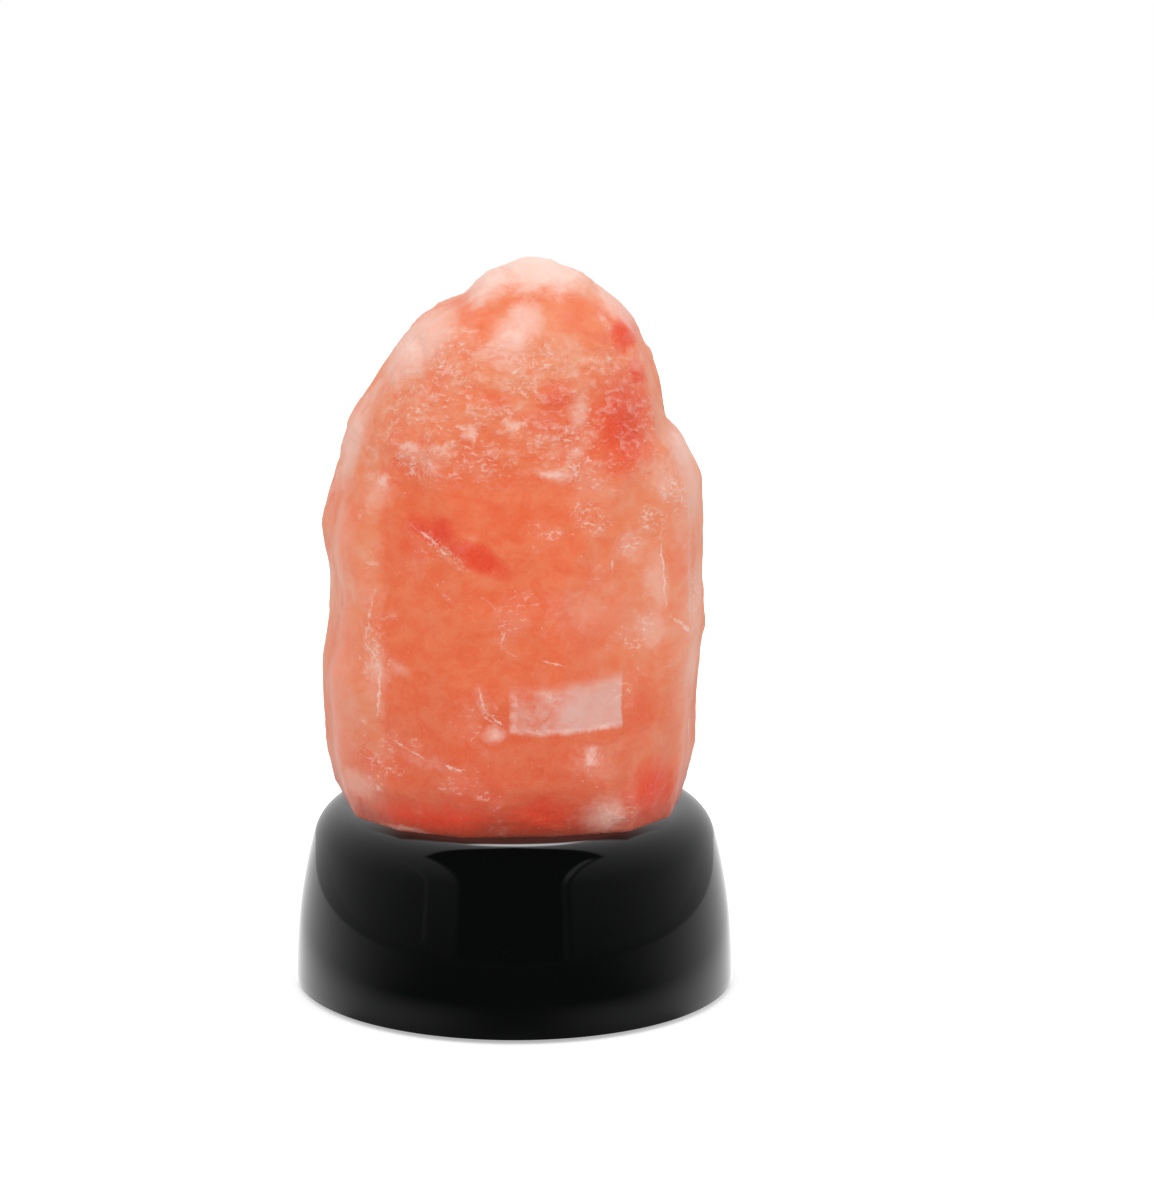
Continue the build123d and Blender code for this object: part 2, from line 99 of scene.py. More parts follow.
class Wire:
    """One output socket. Sums and products of wires and numbers add the nodes for them."""

    def __init__(self, finish, socket):
        self.finish = finish
        self.socket = socket

    def join(self, operation, first, second):
        """The two joined by a Math node, or by a Vector Math node where either is a vector."""
        wires = [value for value in (first, second) if isinstance(value, Wire)]
        plain = all(wire.socket.type == "VALUE" for wire in wires)
        kind = "ShaderNodeMath" if plain else "ShaderNodeVectorMath"
        return self.finish.add(kind, {"operation": operation}, {0: first, 1: second})

    def __add__(self, other):
        return self.join("ADD", self, other)

    def __radd__(self, other):
        return self.join("ADD", other, self)

    def __sub__(self, other):
        return self.join("SUBTRACT", self, other)

    def __rsub__(self, other):
        return self.join("SUBTRACT", other, self)

    def __mul__(self, other):
        return self.join("MULTIPLY", self, other)

    def __rmul__(self, other):
        return self.join("MULTIPLY", other, self)

    def __abs__(self):
        return self.finish.add("ShaderNodeMath", {"operation": "ABSOLUTE"}, {0: self})

    def or_more(self, other):
        """The greater of the two."""
        return self.join("MAXIMUM", self, other)

    def rise(self, low, high):
        """0 up to low, 1 from high, and smooth between. With low above high it falls instead."""
        smooth = {"interpolation_type": "SMOOTHSTEP"}
        ends = {"Value": self, "From Min": low, "From Max": high}
        return self.finish.add("ShaderNodeMapRange", smooth, ends)

    def part(self, axis):
        """The X, Y or Z of a vector."""
        return Wire(self.finish, self.finish.split(self)[axis])

    def length(self):
        return self.finish.add("ShaderNodeVectorMath", {"operation": "LENGTH"}, {0: self})

    def direction(self):
        """The vector made one long."""
        return self.finish.add("ShaderNodeVectorMath", {"operation": "NORMALIZE"}, {0: self})


class Finish:
    """A material, or the world, and the nodes that make it."""

    def __init__(self, name, owner=None):
        self.owner = owner or bpy.data.materials.new(name)
        self.owner.use_nodes = True
        self.nodes = self.owner.node_tree.nodes
        self.links = self.owner.node_tree.links
        self.parts_of = {}
        if owner is None:
            self.shader = self.nodes["Principled BSDF"]
            self.output = self.nodes["Material Output"]

    def add(self, kind, settings, sockets, output=0):
        """A new node of that kind: its settings first, then values or wires. Gives an output."""
        node = self.nodes.new(kind)
        for setting, value in settings.items():
            if setting == "stops":
                ramp = node.color_ramp.elements
                for index, (place, colour) in enumerate(value):
                    stop = ramp[index] if index < 2 else ramp.new(place)
                    stop.position = place
                    stop.color = colour
            else:
                setattr(node, setting, value)
        for name, value in sockets.items():
            self.feed(self.socket(node.inputs, name), value)
        return Wire(self, self.socket(node.outputs, output))

    def socket(self, sockets, name):
        """The socket in use that has that name or number."""
        in_use = [s for s in sockets if s.enabled]
        return in_use[name] if isinstance(name, int) else next(s for s in in_use if s.name == name)

    def feed(self, socket, value):
        """Links a wire to the socket, or sets the value on it."""
        if isinstance(value, Wire):
            self.links.new(value.socket, socket)
        elif socket.type == "VECTOR" and isinstance(value, (int, float)):
            socket.default_value = (value, value, value)
        else:
            socket.default_value = value

    def set(self, **sockets):
        """Sets or links the main shader's sockets, named with _ for a space."""
        for name, value in sockets.items():
            self.feed(self.socket(self.shader.inputs, name.replace("_", " ")), value)

    def show(self, shader):
        """Makes that shader the surface."""
        self.links.new(shader.socket, self.output.inputs["Surface"])

    def split(self, vector):
        """The vector's three parts by axis, from one node however often they are asked for."""
        key = vector.socket.as_pointer()
        if key not in self.parts_of:
            wire = self.add("ShaderNodeSeparateXYZ", {}, {0: vector})
            self.parts_of[key] = dict(zip("XYZ", wire.socket.node.outputs))
        return self.parts_of[key]

    def rays(self, *kinds):
        """For each kind, such as Is Camera Ray: 1 on rays of that kind, 0 on others."""
        outputs = self.add("ShaderNodeLightPath", {}, {}).socket.node.outputs
        return [Wire(self, outputs[kind]) for kind in kinds]

    def place(self):
        """The place on the piece, in millimetres in the lamp's own frame."""
        return self.add("ShaderNodeTexCoord", {}, {}, "Object") * (1 / mm)

    def noise(self, place, size, detail=2.0, roughness=0.5, warp=0.0, output=0):
        """Cloudy noise from 0 to 1 with lumps of about that size in millimetres."""
        sockets = {
            "Vector": place,
            "Scale": 1 / size,
            "Detail": detail,
            "Roughness": roughness,
            "Distortion": warp,
        }
        return self.add("ShaderNodeTexNoise", {}, sockets, output)

    def cells(self, place, size):
        """Cell noise: the distance to the nearest of scattered points, size millimetres apart."""
        sockets = {"Vector": place, "Scale": 1 / size}
        return self.add("ShaderNodeTexVoronoi", {}, sockets, "Distance")

    def stretch(self, place, x=1.0, y=1.0, z=1.0):
        """The place scaled along each axis, which squeezes what is drawn there as much."""
        stretched = {0: place, 1: (x, y, z)}
        return self.add("ShaderNodeVectorMath", {"operation": "MULTIPLY"}, stretched)

    def mix(self, share, first, second):
        """The first colour where share is 0, the second where it is 1."""
        sockets = {"Factor": share, "A": first, "B": second}
        return self.add("ShaderNodeMix", {"data_type": "RGBA"}, sockets)

    def ramp(self, value, *stops):
        return self.add("ShaderNodeValToRGB", {"stops": stops}, {"Fac": value})

    def blob(self, place, centre, reach, turn=0.0):
        """1 at the centre, falling to 0 at reach along X, Y and Z, turned about Y in degrees."""
        spread = {
            "Vector": place,
            "Location": centre,
            "Rotation": (0, radians(turn), 0),
            "Scale": reach,
        }
        inside = self.add("ShaderNodeMapping", {"vector_type": "TEXTURE"}, spread)
        return self.add("ShaderNodeTexGradient", {"gradient_type": "SPHERICAL"}, {0: inside}, 1)

    def bump(self, height, depth, strength=1.0):
        """Raises the surface by depth metres where height is 1."""
        sockets = {"Height": height, "Distance": depth, "Strength": strength}
        self.set(Normal=self.add("ShaderNodeBump", {}, sockets))


# ---- Finishes ------------------------------------------------------------------------------------
core = tint(236, 98, 50)
orange = tint(238, 118, 72)
peach = tint(238, 138, 96)
beige = tint(236, 160, 128)
blush = tint(244, 192, 176)
milk = tint(252, 224, 212)
cloudy_pink = tint(228, 186, 177)
ember = tint(234, 60, 18)
# painted shade low on the salt, near the base
bottom_shade_red = tint(190, 60, 46)

# Marks on the salt: middle in X and Z, reach along and across, turn about Y, strength, and the
# middle's Y. Millimetres and degrees; a turned mark's right-hand end is the lower one.
Mark = namedtuple("Mark", "x z along across turn strength y", defaults=(0, 1.0, -26))
mark_depth = 18.0             # how far every mark reaches along Y

core_marks = [
    Mark(12, 106, 17, 15, 0, 0.9, -20),
    Mark(-13, 112, 14, 12, 0, 0.35, -18),
    Mark(-7, 126, 6, 5, 0, 0.7, -8),
    Mark(11, 126.5, 3.5, 5, 0, 0.5, -8),
    Mark(4, 88, 30, 34, 0, 0.8, 26),
]
# Pale marks on the cap and upper edges: partly whiter salt, partly painted sheen.
glaze_and_sheen_marks = [
    Mark(6, 135, 17, 8, 0, 1.0, -4),
    Mark(-5, 131, 8, 4, -35, 0.9, -4),
    Mark(-17.4, 120.5, 12, 5.5, -47, 1.0, -8),
    Mark(-0.6, 123.4, 6.5, 4, -20, 0.85, -14),
    Mark(2.0, 126.0, 4.5, 5, 0, 0.8, -13),
    Mark(-3, 120.6, 8, 3, 8, 0.6, -16),
    Mark(18, 127, 9, 3.4, 45, 0.8, -2),
    Mark(-30, 103, 13, 4.5, -68, 0.7, -8),
    Mark(30, 101, 6, 4, 50, 0.8, -4),
]
haze_marks = [
    Mark(11.6, 111, 8, 2.6, -82, 0.8, -22),
    Mark(11, 104.2, 4.4, 2.6, -40, 0.8),
    Mark(-16, 103.4, 9, 3.6, 0, 0.6),
    Mark(8, 101, 5.5, 2.6, 0, 0.7),
    Mark(-24, 96, 8, 4, -60, 0.7, -16),
    Mark(31.5, 95, 13, 5.5, 85, 0.9, -8),
    Mark(26.6, 98, 6, 3, 75, 0.8, -16),
    Mark(20.5, 87, 6, 5, 0, 0.6, -22),
    Mark(11, 77, 13, 9, 0, 0.5),
    Mark(25.4, 80, 10, 4, 85, 0.8, -20),
    Mark(24, 71.5, 6, 6, 0, 0.9, -20),
    Mark(32.8, 74, 9, 3, 88, 1.0, -10),
    Mark(32, 62, 9, 3.6, 88, 0.8, -10),
    Mark(-26.5, 78, 10, 5, 88, 0.5, -20),
    Mark(-25, 64, 10, 4, 85, 0.7, -22),
    Mark(-20.6, 65, 2.6, 2.6, 0, 0.7, -22),
    Mark(-3.5, 54.6, 3.4, 2.8, 0, 1.0),
    Mark(-5.6, 61, 5, 2.2, 80, 0.6),
    Mark(-28.3, 42.3, 6, 5, 0, 0.9, -18),
    Mark(16.2, 38.6, 6, 5.5, 0, 1.0),
    Mark(14, 49, 8, 6, 0, 0.55),
    Mark(-16, 49, 12, 2.2, 14, 0.5),
    Mark(-19.5, 35.4, 7, 1.0, 4, 0.9, -22),
]
bright_marks = [
    Mark(-18.8, 105.2, 3.4, 1.6, 4, 1.0, -23),
    Mark(-12.6, 104.7, 4.2, 1.5, 8, 0.8),
    Mark(-7.8, 108, 2.8, 1.8, -30, 1.0),
    Mark(-0.1, 109.4, 3.6, 1.5, 6, 1.0),
    Mark(-23.3, 98.4, 2.6, 2.0, -70, 0.9, -20),
    Mark(-18.2, 120, 3.2, 2.2, -30, 0.9, -11),
    Mark(-0.2, 123.6, 4.4, 2.8, -20, 0.7, -14),
    Mark(13.6, 50.2, 3.8, 2.2, -75, 1.0),
    Mark(-3.5, 54.4, 2.6, 2.0, 0, 0.8),
    Mark(7.1, 100.8, 4.2, 1.2, 0, 0.9),
    Mark(17.0, 38.2, 4.4, 3.4, 0, 0.7),
]
red_marks = [
    Mark(19.7, 123, 4.0, 4.4, 0, 1.2, -10),
    Mark(21.8, 116.4, 5, 2.6, 75, 0.9, -12),
    Mark(19, 108, 9.5, 15, 0, 1.0, -16),
    Mark(7.4, 113.6, 5.4, 4.4, 0, 0.7, -22),
    Mark(5.4, 109.6, 6, 4, 0, 0.6, -22),
    Mark(-3, 113.4, 5, 3, 0, 0.5, -22),
    Mark(-16.2, 90.8, 5.5, 3.2, 20, 0.85),
    Mark(-12.8, 90.8, 4.2, 4.0, 10, 1.25),
    Mark(-6.4, 86.4, 9.5, 3.4, 24, 1.3),
    Mark(-19, 88, 8, 8, 0, 0.5),
    Mark(-3.2, 94.5, 4, 3, 0, 0.4),
    Mark(4.5, 39.6, 11, 6, 0, 1.0),
    Mark(-13, 38.2, 18, 4.4, 0, 0.95),
    Mark(24.5, 42, 8, 9, 0, 0.9, -20),
    Mark(-26, 47, 6, 5, 0, 0.6, -18),
    Mark(22, 57, 6, 11, 0, 0.5, -22),
    Mark(-20, 74, 14, 6, 30, 0.9, 20),
    Mark(14, 104, 11, 5, -25, 0.9, 20),
]
# Thin white cracks: half length and half thickness, before they wander.
crack_marks = [
    Mark(-13.8, 88.2, 7.0, 0.34, 37, 0.9),
    Mark(-4.6, 78.5, 2.4, 0.26, 45, 0.8),
    Mark(6.9, 67.9, 2.8, 0.26, 14, 0.9),
    Mark(26.4, 81.4, 9.5, 0.30, 85, 0.8, -20),
    Mark(30.0, 71.2, 4.0, 0.42, 48, 1.0, -16),
    Mark(-25.7, 74.3, 7.5, 0.26, -80, 0.7, -20),
    Mark(-25.2, 67.1, 3.8, 0.30, 55, 0.8, -20),
    Mark(-24.1, 60.5, 6.5, 0.32, -87, 0.9, -22),
    Mark(-5.7, 60.8, 3.4, 0.36, 77, 0.9),
    Mark(-3.4, 57.6, 3.2, 0.28, 35, 0.9),
    Mark(-18.6, 50.6, 4.2, 0.28, 25, 0.8),
    Mark(-10.8, 48.4, 2.8, 0.32, 8, 0.9),
    Mark(-2.0, 72.7, 4.0, 0.24, -85, 0.7),
    Mark(-0.9, 69.4, 2.4, 0.24, 25, 0.8),
    Mark(17.4, 83.4, 2.2, 0.26, -80, 0.7, -24),
    Mark(6, 78, 12, 0.40, 62, 0.9, 28),
    Mark(-14, 98, 9, 0.40, -50, 0.9, 22),
]
# Bands in which small curled flakes lie.
flake_marks = [
    Mark(-12.5, 87.4, 8.0, 2.0, 37, 0.7),
    Mark(13.2, 93.0, 5.6, 3.0, 44, 1.1),
    Mark(20.5, 87.5, 4.6, 3.4, 0, 0.6, -24),
    Mark(24.8, 90.6, 5.0, 3.0, 60, 1.0, -22),
    Mark(28.8, 95.0, 6.0, 3.0, 70, 1.0, -16),
    Mark(32.6, 76.0, 7.0, 2.8, 85, 0.9, -10),
    Mark(23.4, 72.5, 3.6, 3.0, 0, 0.8, -22),
    Mark(-24.8, 68.0, 9.0, 3.2, -85, 0.7, -20),
    Mark(-4.2, 58.4, 4.4, 2.6, 60, 0.8),
    Mark(-24, 48, 7, 3, 20, 0.6, -20),
    Mark(-11.2, 118.2, 5.0, 2.6, 14, 0.9, -18),
    Mark(-4.7, 111.8, 6.0, 2.4, 4, 0.9, -23),
    Mark(4.6, 119.4, 7.0, 4.4, 0, 1.0, -18),
    Mark(1.6, 115.4, 5.0, 2.4, 20, 1.0, -21),
    Mark(7.7, 107.1, 5.0, 2.6, 3, 0.9, -24),
    Mark(10.5, 101.5, 4.0, 3.2, -60, 0.9, -24),
    Mark(-17.5, 101.6, 6.0, 2.4, 8, 0.9, -23),
    Mark(16.5, 118.5, 3.8, 3.0, 0, 0.7, -16),
    Mark(2, 84, 12, 5, 62, 0.8, 28),
    Mark(-14, 98, 9, 5, -50, 0.8, 22),
]

# Zones of the salt, in millimetres: each pair is where the zone begins and where it is whole.
front_depth = (-8, -16)
middle_left = (-26, -20.5)
middle_right = (-4, 27)
middle_top = (122, 86)
# the bottom's painted shade, in two steps
shade_low_down = (75, 40)
lowest = (46, 35)
cap_sheen_height = (127, 134)
side_sheen_reach = (26.5, 33)
oblong_left = (-1.2, -0.2)
oblong_right = (19.3, 18.9)
oblong_bottom = (54.2, 55.4)
oblong_top = (64.4, 60.4)
oblong_depth = (-14, -18)
shelf_bottom = (96, 104)
shelf_top = (128, 119)


def marks_mask(finish, place, marks):
    """The strongest of the marks at each place."""
    strongest = 0.0
    for mark in marks:
        reach = (mark.along, mark_depth, mark.across)
        spot = finish.blob(place, (mark.x, mark.y, mark.z), reach, mark.turn)
        strongest = (spot * mark.strength).or_more(strongest)
    return strongest


def salt():
    """Rock salt: cloudy orange, peach at the sides with painted sheen along their edges, frosted
    where it is split, with red streaks and painted shade low down.
    """
    finish = Finish("pink_rock_salt")
    place = finish.place()
    drift = finish.noise(place, 5.0, 4.0, 0.6, output=1) - 0.5
    wandering = place + drift * 4.0
    jagged = place + (finish.noise(place, 2.4, 4.0, 0.7, output=1) - 0.5) * 2.2
    bent = place + (finish.noise(place, 2.0, 3.0, 0.6, output=1) - 0.5) * 2.2
    x, y, z = (wandering.part(axis) for axis in "XYZ")
    clouds = finish.noise(place, 15.0, 3.0, 0.55, 0.6)
    mottle = finish.noise(finish.stretch(wandering, z=1.5), 4.0, 6.0, 0.65)
    ragged = (finish.noise(finish.stretch(wandering, z=1.3), 2.6, 6.0, 0.7) - 0.5) * 2.6
    grain = finish.noise(place, 0.55, 2.0, 0.6)
    patchy = finish.noise(place, 9.0, 3.0)
    front = y.rise(*front_depth)

    # cloudy body: deepest orange from a clear edge on the left of the front, and paler from there
    # to the right and the top
    body = clouds * 0.6 + mottle * 0.4 + y.rise(-22, -4) * 0.04
    colour = finish.ramp(body, (0.38, orange), (0.64, beige), (0.51, peach))
    middle = x.rise(*middle_left) * (1 - x.rise(*middle_right) * 0.85)
    middle = middle * z.rise(*middle_top) * front
    spots = marks_mask(finish, wandering, core_marks)
    deep = (middle.or_more(spots) * 1.3 + ragged * 0.12 + (clouds - 0.5) * 0.4).rise(0.05, 1.0)
    colour = finish.mix(deep * 0.85, colour, finish.mix(mottle.rise(0.36, 0.64), core, orange))
    # painted shade: the salt turns a darker brick red towards the bottom, where it sits on the base
    colour = finish.mix(z.rise(*shade_low_down) * 0.28 + z.rise(*lowest) * 0.5, colour, bottom_shade_red)
    stain = finish.noise(place, 22.0, 2.0).rise(0.58, 0.72) * mottle.rise(0.4, 0.6) * 0.45
    red = (marks_mask(finish, wandering, red_marks) * 1.25 + ragged * 0.3).rise(0.1, 1.1)
    colour = finish.mix(red.or_more(stain) * 0.9, colour, ember)

    # paler cap and upper edges, partly whiter salt and partly painted sheen, palest at the very
    # top; cloudy pale patches elsewhere, and painted sheen along the side edges of the front
    glaze_and_sheen = (marks_mask(finish, wandering, glaze_and_sheen_marks) * 1.5 + ragged * 0.35).rise(0.05, 1.0)
    colour = finish.mix(glaze_and_sheen * (0.55 + mottle * 0.5), colour, blush)
    # painted sheen on the very top: milky white
    colour = finish.mix(glaze_and_sheen * (z + ragged * 3.0).rise(*cap_sheen_height) * 0.6, colour, milk)
    haze_and_side_sheen = (marks_mask(finish, wandering, haze_marks) * 1.3 + ragged * 0.45).rise(0.1, 1.0)
    haze_and_side_sheen = haze_and_side_sheen.or_more((patchy + ragged * 0.1).rise(0.54, 0.7) * (1 - front * 0.7) * 0.8)
    # painted sheen: paler blush along the left and right edges of the front
    haze_and_side_sheen = haze_and_side_sheen.or_more((abs(x) + ragged * 2.0).rise(*side_sheen_reach) * front * 0.7)
    colour = finish.mix(haze_and_side_sheen * 0.5, colour, blush)

    # the split face low on the front: a pale oblong, clearest at its sharp right edge
    nearby = place + drift * 1.6
    across, up = nearby.part("X"), nearby.part("Z")
    oblong = across.rise(*oblong_left) * across.rise(*oblong_right)
    oblong = oblong * (up + ragged * 0.5).rise(*oblong_bottom)
    oblong = oblong * (up + ragged * 1.5 - across * 0.06).rise(*oblong_top)
    oblong = oblong * place.part("Y").rise(*oblong_depth)
    edges = across.rise(0.9, 0.1).or_more(up.rise(56.0, 55.3)).or_more(up.rise(62.0, 62.8))
    right_half = across.rise(4.0, 12.0) * (0.6 + mottle * 0.5)
    left_half = across.rise(14.0, 4.0) * mottle.rise(0.25, 0.7) * 0.7
    colour = finish.mix(oblong * (right_half + left_half) * 0.85, colour, cloudy_pink)
    colour = finish.mix(oblong * edges * ragged.rise(-0.3, 0.3) * 0.4, colour, milk)

    # dabs of paler salt across the chipped upper front, with painted shade: deeper orange in the
    # hollows between the raised dabs
    shelf = z.rise(*shelf_bottom) * z.rise(*shelf_top) * front
    dabs = finish.noise(finish.stretch(wandering, z=2.0), 2.6, 4.0, 0.6)
    colour = finish.mix(shelf * dabs.rise(0.5, 0.66) * 0.38, colour, blush)
    # painted shade in the hollows that the bump sinks between the dabs
    colour = finish.mix(shelf * dabs.rise(0.46, 0.34) * 0.35, colour, core)

    # small flakes in bands and in patches
    broken = finish.noise(place, 1.7, 3.0).rise(0.42, 0.56)
    strokes = finish.noise(finish.stretch(bent, z=2.1), 1.25, 2.0, 0.5).rise(0.57, 0.66)
    curls = abs(finish.noise(bent, 1.7, 1.5, 0.5) - 0.5).rise(0.06, 0.01) * broken
    flakes = marks_mask(finish, wandering, flake_marks).rise(0.0, 0.6)
    flakes = flakes * strokes.or_more(curls * 0.7)
    loose = (shelf * patchy.rise(0.42, 0.60) * 0.45).or_more(patchy.rise(0.56, 0.68) * 0.35)
    loose = loose * strokes * (1 - red * 0.7)
    colour = finish.mix((flakes * 0.5).or_more(loose), colour, milk)

    # fine white cracks, bright spots with frayed edges, and specks of painted sparkle
    crack = (marks_mask(finish, jagged, crack_marks) * 2.0).rise(0.1, 1.0)
    crack = crack * (0.25 + broken * 0.75)
    frayed = (finish.noise(bent, 1.3, 3.0, 0.6) - 0.5) * 2.4
    bright = (marks_mask(finish, bent, bright_marks) * 1.2 + frayed * 0.7).rise(0.2, 1.1)
    colour = finish.mix((crack * 0.55).or_more(bright * 0.5), colour, milk)
    # painted glints: tiny white sparkles in patches
    specks = finish.cells(place, 1.5).rise(0.17, 0.07) * finish.noise(place, 6.0).rise(0.54, 0.66)
    colour = finish.mix(specks * 0.3, colour, milk)
    colour = finish.mix(grain.rise(0.3, 0.75) * 0.10, colour, beige)

    finish.set(
        Base_Color=colour,
        Roughness=0.42 + mottle * 0.22 - crack * 0.12,
        Subsurface_Weight=0.3,
        Subsurface_Radius=(5 * mm, 2.2 * mm, 1.4 * mm),
        Subsurface_Scale=1.0,
        Specular_IOR_Level=0.4,
        Sheen_Weight=0.22,
        Sheen_Roughness=0.5,
        Sheen_Tint=tint(255, 226, 216),
    )
    raised = mottle * 1.4 + grain * 0.10 + crack * 0.3 + flakes * 0.4 + loose * 0.4
    finish.bump(raised + dabs * shelf * 3.0, 0.45 * mm, 0.6)
    return finish.owner


def black_gloss():
    """Polished black moulding, with the faint dust and hair scratches that gloss picks up."""
    finish = Finish("black_gloss")
    place = finish.place()
    dust = finish.cells(place, 2.6).rise(0.05, 0.02) * finish.noise(place, 9.0).rise(0.5, 0.7)
    hairs = finish.noise(finish.stretch(place, z=0.25), 1.6, 3.0) - 0.5
    scratch = abs(hairs).rise(0.012, 0.0)
    finish.set(
        Base_Color=finish.mix(dust * 0.25, tint(7, 8, 8), tint(90, 90, 88)),
        Roughness=0.035 + finish.noise(place, 14.0) * 0.02 + dust * 0.2 + scratch * 0.04,
        IOR=1.5,
    )
    finish.bump(finish.noise(place, 18.0, 1.0), 0.02 * mm, 0.4)
    return finish.owner


def moulded(name, colour, roughness, grain=0.5, depth=0.05):
    """Matte or satin plastic or rubber with a fine spark-eroded grain and slightly rubbed spots."""
    finish = Finish(name)
    place = finish.place()
    fine = finish.noise(place, grain, 3.0, 0.6)
    rubbed = finish.noise(place, 12.0, 3.0).rise(0.5, 0.75)
    lighter = tuple(min(1.0, level * 1.25 + 0.01) for level in colour[:3]) + (1.0,)
    finish.set(
        Base_Color=finish.mix(fine.rise(0.35, 0.7) * 0.6 + rubbed * 0.3, colour, lighter),
        Roughness=roughness + fine * 0.12 - rubbed * 0.08,
    )
    finish.bump(fine, depth * mm, 0.6)
    return finish.owner


def metal(name, colour, roughness):
    """Plated metal with a drawn grain, dulled in patches."""
    finish = Finish(name)
    place = finish.place()
    grain = finish.noise(finish.stretch(place, z=6.0), 0.8, 3.0)
    dull = finish.noise(place, 3.0, 3.0).rise(0.45, 0.7)
    darker = tuple(level * 0.7 for level in colour[:3]) + (1.0,)
    finish.set(
        Base_Color=finish.mix(dull * 0.5, colour, darker),
        Metallic=1.0,
        Roughness=roughness + grain * 0.15 + dull * 0.12,
    )
    finish.bump(grain, 0.02 * mm, 0.5)
    return finish.owner


def board(name, mask_colour, track_colour):
    """Circuit board: solder mask over faintly raised tracks, with the laminate's weave under it."""
    finish = Finish(name)
    place = finish.place()
    x, y = place.part("X"), place.part("Y")
    bend = finish.noise(place, 7.0, 0.0).rise(0.45, 0.55) * 2.5
    lanes = finish.add("ShaderNodeMath", {"operation": "PINGPONG"}, {0: x + bend, 1: 1.1})
    tracks = lanes.rise(0.75, 0.6) * finish.noise(place, 5.0, 0.0).rise(0.42, 0.48)
    threads = [
        finish.add("ShaderNodeMath", {"operation": "SINE"}, {0: part * 9.0}) for part in (x, y)
    ]
    weave = (threads[0] * threads[1]).rise(-0.6, 0.9)
    finish.set(
        Base_Color=finish.mix(tracks * 0.55 + weave * 0.06, mask_colour, track_colour),
        Roughness=0.38 + weave * 0.1,
    )
    finish.bump(tracks + weave * 0.1, 0.04 * mm, 0.7)
    return finish.owner


def frosted():
    """Milky diffuser plastic, satin outside."""
    finish = Finish("frosted_dome")
    place = finish.place()
    cloud = finish.noise(place, 5.0, 3.0)
    finish.set(
        Base_Color=finish.mix(cloud, tint(236, 233, 224), tint(226, 221, 208)),
        Roughness=0.5 + cloud * 0.1,
        Subsurface_Weight=0.4,
        Subsurface_Radius=(2 * mm, 2 * mm, 1.6 * mm),
        Subsurface_Scale=1.0,
    )
    finish.bump(finish.noise(place, 0.4, 2.0), 0.02 * mm, 0.4)
    return finish.owner


def emitter():
    """White light-emitting packages with a yellow phosphor window on top."""
    finish = Finish("emitters")
    place = finish.place()
    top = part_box("light_emitters")[1].z / mm
    window = place.part("Z").rise(top - 0.2, top - 0.28)
    specks = finish.noise(place, 0.3, 2.0)
    phosphor = finish.mix(specks, tint(238, 206, 92), tint(226, 184, 62))
    finish.set(
        Base_Color=finish.mix(window, tint(238, 236, 228), phosphor),
        Roughness=0.35 + specks * 0.2,
    )
    return finish.owner


def contact_tongue():
    """Black tongue with a row of gold contacts."""
    finish = Finish("socket_tongue")
    place = finish.place()
    low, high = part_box("power_socket_tongue")
    middle = (low.x + high.x) / 2 / mm
    tip = high.y / mm
    along = place.part("X") - middle + 20.0
    lanes = finish.add("ShaderNodeMath", {"operation": "PINGPONG"}, {0: along, 1: 0.25})
    contacts = lanes.rise(0.12, 0.15) * place.part("Y").rise(tip - 3.6, tip - 3.5)
    grain = finish.noise(place, 0.4, 2.0)
    black = finish.mix(grain, tint(20, 20, 22), tint(30, 30, 32))
    finish.set(
        Base_Color=finish.mix(contacts, black, tint(224, 182, 92)),
        Metallic=contacts,
        Roughness=0.3 + grain * 0.2,
    )
    return finish.owner


# By material slot of the record.
finishes = {
    "salt": salt(),
    "foam": moulded("foam_pad", tint(40, 40, 42), 0.9, 0.6, 0.2),
    "black_gloss": black_gloss(),
    "black_satin": moulded("satin_plate", tint(24, 24, 26), 0.45, 0.35, 0.06),
    "foot_rubber": moulded("foot_rubber", tint(46, 46, 47), 0.8, 0.5, 0.05),
    "plated_steel": metal("plated_steel", tint(198, 199, 202), 0.22),
    "frosted": frosted(),
    "board_white": board("white_board", tint(232, 232, 226), tint(206, 206, 198)),
    "board_green": board("green_board", tint(28, 98, 58), tint(70, 140, 88)),
    "emitter": emitter(),
    "chip_black": moulded("chip_resin", tint(36, 36, 38), 0.5, 0.25, 0.03),
    "chip_tan": moulded("fired_ceramic", tint(176, 142, 100), 0.55, 0.3, 0.02),
    "switch_plastic": moulded("switch_plastic", tint(52, 52, 55), 0.5, 0.3, 0.03),
    "pin_metal": metal("tinned_pins", tint(206, 202, 192), 0.3),
    "header_white": moulded("header_nylon", tint(230, 226, 212), 0.5, 0.4, 0.02),
    "lead_jacket": moulded("lead_jacket", tint(196, 44, 34), 0.45, 0.5, 0.02),
}


def dress(piece, slot, finish=None):
    """Gives a piece its finish: the one for that material slot of the record, unless another is
    given.
    """
    piece.data.materials.clear()
    piece.data.materials.append(finish or finishes[slot])


for subpart in frame["record"]["subparts"]:
    dress(frame["nodes"][subpart["node"]], subpart["material_slot"])
dress(frame["nodes"]["power_socket_tongue"], "chip_black", contact_tongue())


# ---- Shapes --------------------------------------------------------------------------------------
def as_mesh(name, shape):
    """The bmesh turned into a mesh, and freed."""
    mesh = bpy.data.meshes.new(name)
    shape.to_mesh(mesh)
    shape.free()
    return mesh


def new_piece(name, mesh):
    piece = bpy.data.objects.new(name, mesh)
    bpy.context.scene.collection.objects.link(piece)
    return piece


def bake(piece):
    """Applies the piece's modifiers to its mesh."""
    view = bpy.context.evaluated_depsgraph_get()
    view.update()
    mesh = bpy.data.meshes.new_from_object(piece.evaluated_get(view))
    piece.modifiers.clear()
    piece.data = mesh


